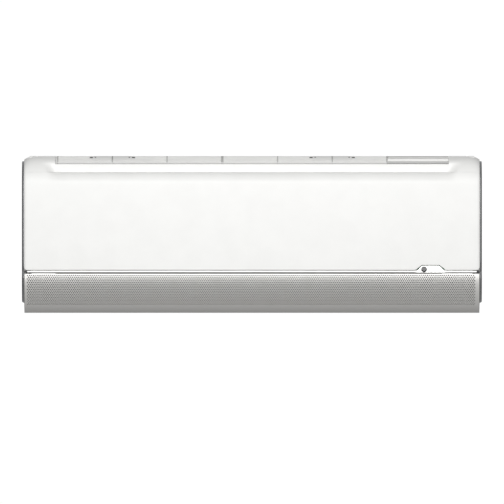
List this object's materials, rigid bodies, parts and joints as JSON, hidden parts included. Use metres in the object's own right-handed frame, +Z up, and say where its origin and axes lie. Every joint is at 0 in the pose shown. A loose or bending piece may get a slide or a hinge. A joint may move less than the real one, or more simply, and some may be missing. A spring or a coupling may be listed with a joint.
{
  "type": "mini split indoor unit",
  "caption": "Wall-mounted air conditioner indoor unit with hinged front panel, perforated drop-down outlet door, cross-flow fan, heat exchanger, vanes and top filters",
  "frame": {"origin": "on the wall face of the mounting plate, at half the unit's height and width", "axes": "+Y into the wall, +X to the right as seen from the room (the longest side), +Z up"},
  "size_m": [0.94, 0.195, 0.321],
  "materials": {
    "white_abs": "white injection-moulded plastic with a fine satin skin",
    "grey_abs": "light grey moulded plastic",
    "black_plastic": "black moulded plastic",
    "rubber_bearing": "black rubber bush",
    "lens": "smoked infrared-clear plastic",
    "silver_door": "silver paint over a perforated moulding",
    "bright_trim": "bright plated moulding",
    "galvanised_steel": "galvanised sheet steel",
    "aluminium_fins": "coated aluminium fin pack",
    "copper_tube": "drawn copper tube",
    "brass_nut": "turned brass",
    "circuit_laminate": "glass-fibre circuit laminate"
  },
  "bodies": {
    "casing": {"front_frame": "white_abs", "side_cover_left": "white_abs", "side_cover_right": "white_abs", "bottom_cover": "white_abs", "inlet_grille": "white_abs", "end_frame_left": "white_abs", "end_frame_right": "white_abs", "fan_room_wall_left": "white_abs", "fan_room_wall_right": "white_abs", "electrical_box": "white_abs", "electrical_box_lid": "white_abs", "drain_tray": "white_abs", "motor_clamp": "white_abs", "door_motor": "white_abs", "drain_spigot": "grey_abs", "rear_chassis": "black_plastic", "terminal_block": "black_plastic", "fan_bearing": "rubber_bearing", "sensor_lens": "lens", "silver_trim_strip": "silver_door", "side_trim_left": "bright_trim", "side_trim_right": "bright_trim", "mounting_plate": "galvanised_steel", "tube_plate_left": "galvanised_steel", "fan_motor": "galvanised_steel", "swing_motor": "galvanised_steel", "vane_motor": "galvanised_steel", "lid_screw_1": "galvanised_steel", "lid_screw_2": "galvanised_steel", "rail_screw_1": "galvanised_steel", "rail_screw_2": "galvanised_steel", "evaporator_front_lower": "aluminium_fins", "evaporator_front_upper": "aluminium_fins", "evaporator_rear": "aluminium_fins", "tube_plate_right": "copper_tube", "gas_pipe": "copper_tube", "liquid_pipe": "copper_tube", "temperature_sensor": "copper_tube", "gas_flare_nut": "brass_nut", "liquid_flare_nut": "brass_nut", "circuit_board": "circuit_laminate", "display_board": "circuit_laminate"},
    "panel": {"front_panel": "white_abs"},
    "door": {"outlet_door": "silver_door"},
    "long_vane": {"inner_vane": "white_abs"},
    "fan": {"fan_rotor": "black_plastic"},
    "left_filter": {"filter_left": "white_abs"},
    "right_filter": {"filter_right": "white_abs"},
    "button": {"manual_button": "grey_abs"},
    "link": {"swing_link": "black_plastic"},
    "crank": {"swing_crank": "white_abs"},
    "fin_1": {"swing_vane_1": "black_plastic"},
    "fin_2": {"swing_vane_2": "black_plastic"},
    "fin_3": {"swing_vane_3": "black_plastic"},
    "fin_4": {"swing_vane_4": "black_plastic"},
    "fin_5": {"swing_vane_5": "black_plastic"},
    "fin_6": {"swing_vane_6": "black_plastic"},
    "fin_7": {"swing_vane_7": "black_plastic"},
    "fin_8": {"swing_vane_8": "black_plastic"}
  },
  "joints": [
    {"name": "panel_hinge", "type": "hinge", "parent": "casing", "child": "panel", "pos_m": [0, -0.13, 0.1535], "axis": [-1, 0, 0], "range_deg": [0, 60]},
    {"name": "door_hinge", "type": "hinge", "parent": "casing", "child": "door", "pos_m": [0, -0.128, -0.152], "axis": [1, 0, 0], "range_deg": [0, 80]},
    {"name": "long_vane_hinge", "type": "hinge", "parent": "casing", "child": "long_vane", "pos_m": [0, -0.148, -0.116], "axis": [1, 0, 0], "range_deg": [-20, 25]},
    {"name": "fan_spin", "type": "hinge", "parent": "casing", "child": "fan", "pos_m": [0, -0.096, -0.04], "axis": [1, 0, 0], "continuous": true},
    {"name": "left_filter_slide", "type": "slide", "parent": "casing", "child": "left_filter", "axis": [0, 0, 1], "range_m": [0, 0.08]},
    {"name": "right_filter_slide", "type": "slide", "parent": "casing", "child": "right_filter", "axis": [0, 0, 1], "range_m": [0, 0.08]},
    {"name": "button_press", "type": "slide", "parent": "casing", "child": "button", "axis": [0, 1, 0], "range_m": [0, 0.0015], "stiffness_N_per_m": 400},
    {"name": "fin_1_swing", "type": "hinge", "parent": "casing", "child": "fin_1", "pos_m": [-0.34, -0.112, -0.12], "axis": [0, 0, 1], "range_deg": [-30, 30]},
    {"name": "fin_2_swing", "type": "hinge", "parent": "casing", "child": "fin_2", "pos_m": [-0.262, -0.112, -0.12], "axis": [0, 0, 1], "range_deg": [-30, 30]},
    {"name": "fin_3_swing", "type": "hinge", "parent": "casing", "child": "fin_3", "pos_m": [-0.184, -0.112, -0.12], "axis": [0, 0, 1], "range_deg": [-30, 30]},
    {"name": "fin_4_swing", "type": "hinge", "parent": "casing", "child": "fin_4", "pos_m": [-0.106, -0.112, -0.12], "axis": [0, 0, 1], "range_deg": [-30, 30]},
    {"name": "fin_5_swing", "type": "hinge", "parent": "casing", "child": "fin_5", "pos_m": [-0.028, -0.112, -0.12], "axis": [0, 0, 1], "range_deg": [-30, 30]},
    {"name": "fin_6_swing", "type": "hinge", "parent": "casing", "child": "fin_6", "pos_m": [0.05, -0.112, -0.12], "axis": [0, 0, 1], "range_deg": [-30, 30]},
    {"name": "fin_7_swing", "type": "hinge", "parent": "casing", "child": "fin_7", "pos_m": [0.128, -0.112, -0.12], "axis": [0, 0, 1], "range_deg": [-30, 30]},
    {"name": "fin_8_swing", "type": "hinge", "parent": "casing", "child": "fin_8", "pos_m": [0.206, -0.112, -0.12], "axis": [0, 0, 1], "range_deg": [-30, 30]},
    {"name": "crank_swing", "type": "hinge", "parent": "casing", "child": "crank", "pos_m": [0.284, -0.112, -0.1], "axis": [0, 0, 1], "range_deg": [-30, 30]},
    {"name": "link_pivot", "type": "hinge", "parent": "fin_1", "child": "link", "pos_m": [-0.34, -0.102, -0.1], "axis": [0, 0, 1], "range_deg": [-30, 30]}
  ],
  "couplings": [
    {"joint": "fin_2_swing", "follows": "fin_1_swing", "ratio": 1},
    {"joint": "fin_3_swing", "follows": "fin_1_swing", "ratio": 1},
    {"joint": "fin_4_swing", "follows": "fin_1_swing", "ratio": 1},
    {"joint": "fin_5_swing", "follows": "fin_1_swing", "ratio": 1},
    {"joint": "fin_6_swing", "follows": "fin_1_swing", "ratio": 1},
    {"joint": "fin_7_swing", "follows": "fin_1_swing", "ratio": 1},
    {"joint": "fin_8_swing", "follows": "fin_1_swing", "ratio": 1},
    {"joint": "crank_swing", "follows": "fin_1_swing", "ratio": 1},
    {"joint": "link_pivot", "follows": "fin_1_swing", "ratio": -1}
  ]
}
